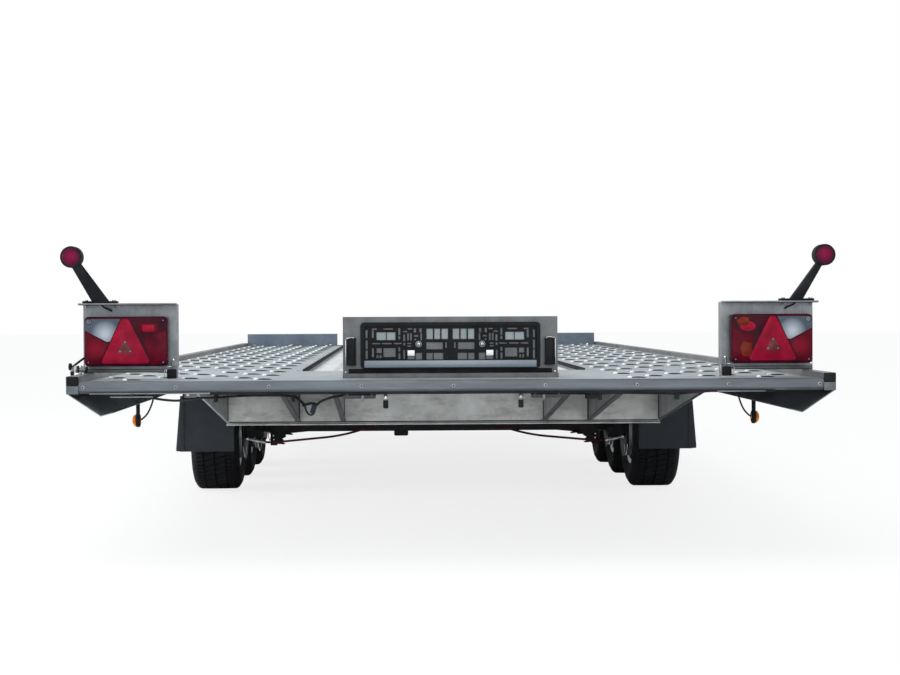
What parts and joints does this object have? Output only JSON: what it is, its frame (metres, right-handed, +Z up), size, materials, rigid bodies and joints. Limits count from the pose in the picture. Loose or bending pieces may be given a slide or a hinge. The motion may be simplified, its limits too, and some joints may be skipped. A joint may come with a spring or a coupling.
{
  "type": "tri-axle flatbed car transporter trailer",
  "caption": "Galvanised flatbed car transporter trailer with slotted runways, rear lamp brackets, rubber-sprung axles, V drawbar, overrun coupling and jockey wheel.",
  "frame": {"origin": "middle of the footprint, on the ground", "axes": "+X to the trailer's right, +Y forward to the coupling, +Z up"},
  "size_m": [2.344, 7.37, 0.9289],
  "materials": {
    "galvanised_frame": "mottled hot-dip zinc",
    "galvanised_plate": "mottled hot-dip zinc",
    "galvanised_bar": "satin zinc",
    "galvanised_deck": "bright zinc",
    "zinc_steel": "bright zinc plating",
    "rim_steel": "silver paint",
    "black_axle": "satin black coating",
    "black_plastic": "moulded",
    "flap_plastic": "fine grain",
    "red_lens": "clear ribbed plastic",
    "amber_lens": "clear ribbed plastic",
    "black_rubber": "moulded rubber",
    "black_cable": "smooth sheath",
    "red_cable": "smooth sheath",
    "tyre": "treaded tyre"
  },
  "bodies": {
    "trailer": {"main_beams": "galvanised_frame", "drawbar": "galvanised_frame", "crossmembers": "galvanised_frame", "rear_crossmember": "galvanised_plate", "rear_gussets": "galvanised_plate", "end_bars": "galvanised_bar", "side_profiles": "galvanised_bar", "end_caps": "black_plastic", "deck_rear_plate": "galvanised_deck", "runways": "galvanised_deck", "deck_centre": "galvanised_deck", "wheel_stops": "galvanised_bar", "axle_beams": "black_axle", "trailing_arms": "black_axle", "brake_cables": "red_cable", "mud_flaps": "flap_plastic", "lamp_brackets": "galvanised_plate", "tail_lamp_bodies": "black_plastic", "red_lenses": "red_lens", "marker_arms": "black_rubber", "plate_bracket": "galvanised_plate", "plate_holder": "black_plastic", "licence_lights": "black_plastic", "side_marker_lenses": "amber_lens", "ramp_catches": "zinc_steel", "wiring": "black_cable", "overrun_unit": "zinc_steel", "bellows": "black_rubber", "coupling_head": "zinc_steel", "jockey_tube": "zinc_steel"},
    "wheel_rear_left": {"tyre_rear_left": "tyre", "rim_rear_left": "rim_steel"},
    "wheel_rear_right": {"tyre_rear_right": "tyre", "rim_rear_right": "rim_steel"},
    "wheel_middle_left": {"tyre_middle_left": "tyre", "rim_middle_left": "rim_steel"},
    "wheel_middle_right": {"tyre_middle_right": "tyre", "rim_middle_right": "rim_steel"},
    "wheel_front_left": {"tyre_front_left": "tyre", "rim_front_left": "rim_steel"},
    "wheel_front_right": {"tyre_front_right": "tyre", "rim_front_right": "rim_steel"},
    "jockey_leg": {"jockey_leg": "zinc_steel"},
    "jockey_caster": {"jockey_fork": "zinc_steel"},
    "jockey_roller": {"jockey_wheel": "black_rubber"}
  },
  "joints": [
    {"name": "wheel_rear_left_spin", "type": "hinge", "parent": "trailer", "child": "wheel_rear_left", "pos_m": [-0.8965, -1.395, 0.233], "axis": [1, 0, 0], "continuous": true},
    {"name": "wheel_rear_right_spin", "type": "hinge", "parent": "trailer", "child": "wheel_rear_right", "pos_m": [0.8965, -1.395, 0.233], "axis": [1, 0, 0], "continuous": true},
    {"name": "wheel_middle_left_spin", "type": "hinge", "parent": "trailer", "child": "wheel_middle_left", "pos_m": [-0.8965, -0.809, 0.233], "axis": [1, 0, 0], "continuous": true},
    {"name": "wheel_middle_right_spin", "type": "hinge", "parent": "trailer", "child": "wheel_middle_right", "pos_m": [0.8965, -0.809, 0.233], "axis": [1, 0, 0], "continuous": true},
    {"name": "wheel_front_left_spin", "type": "hinge", "parent": "trailer", "child": "wheel_front_left", "pos_m": [-0.8965, -0.223, 0.233], "axis": [1, 0, 0], "continuous": true},
    {"name": "wheel_front_right_spin", "type": "hinge", "parent": "trailer", "child": "wheel_front_right", "pos_m": [0.8965, -0.223, 0.233], "axis": [1, 0, 0], "continuous": true},
    {"name": "jockey_lift", "type": "slide", "parent": "trailer", "child": "jockey_leg", "axis": [0, 0, 1], "range_m": [0, 0.085]},
    {"name": "jockey_swivel", "type": "hinge", "parent": "jockey_leg", "child": "jockey_caster", "pos_m": [0.26197, 2.815, 0.236], "axis": [0, 0, 1], "continuous": true},
    {"name": "jockey_roll", "type": "hinge", "parent": "jockey_caster", "child": "jockey_roller", "pos_m": [0.26197, 2.773, 0.1], "axis": [1, 0, 0], "continuous": true}
  ]
}
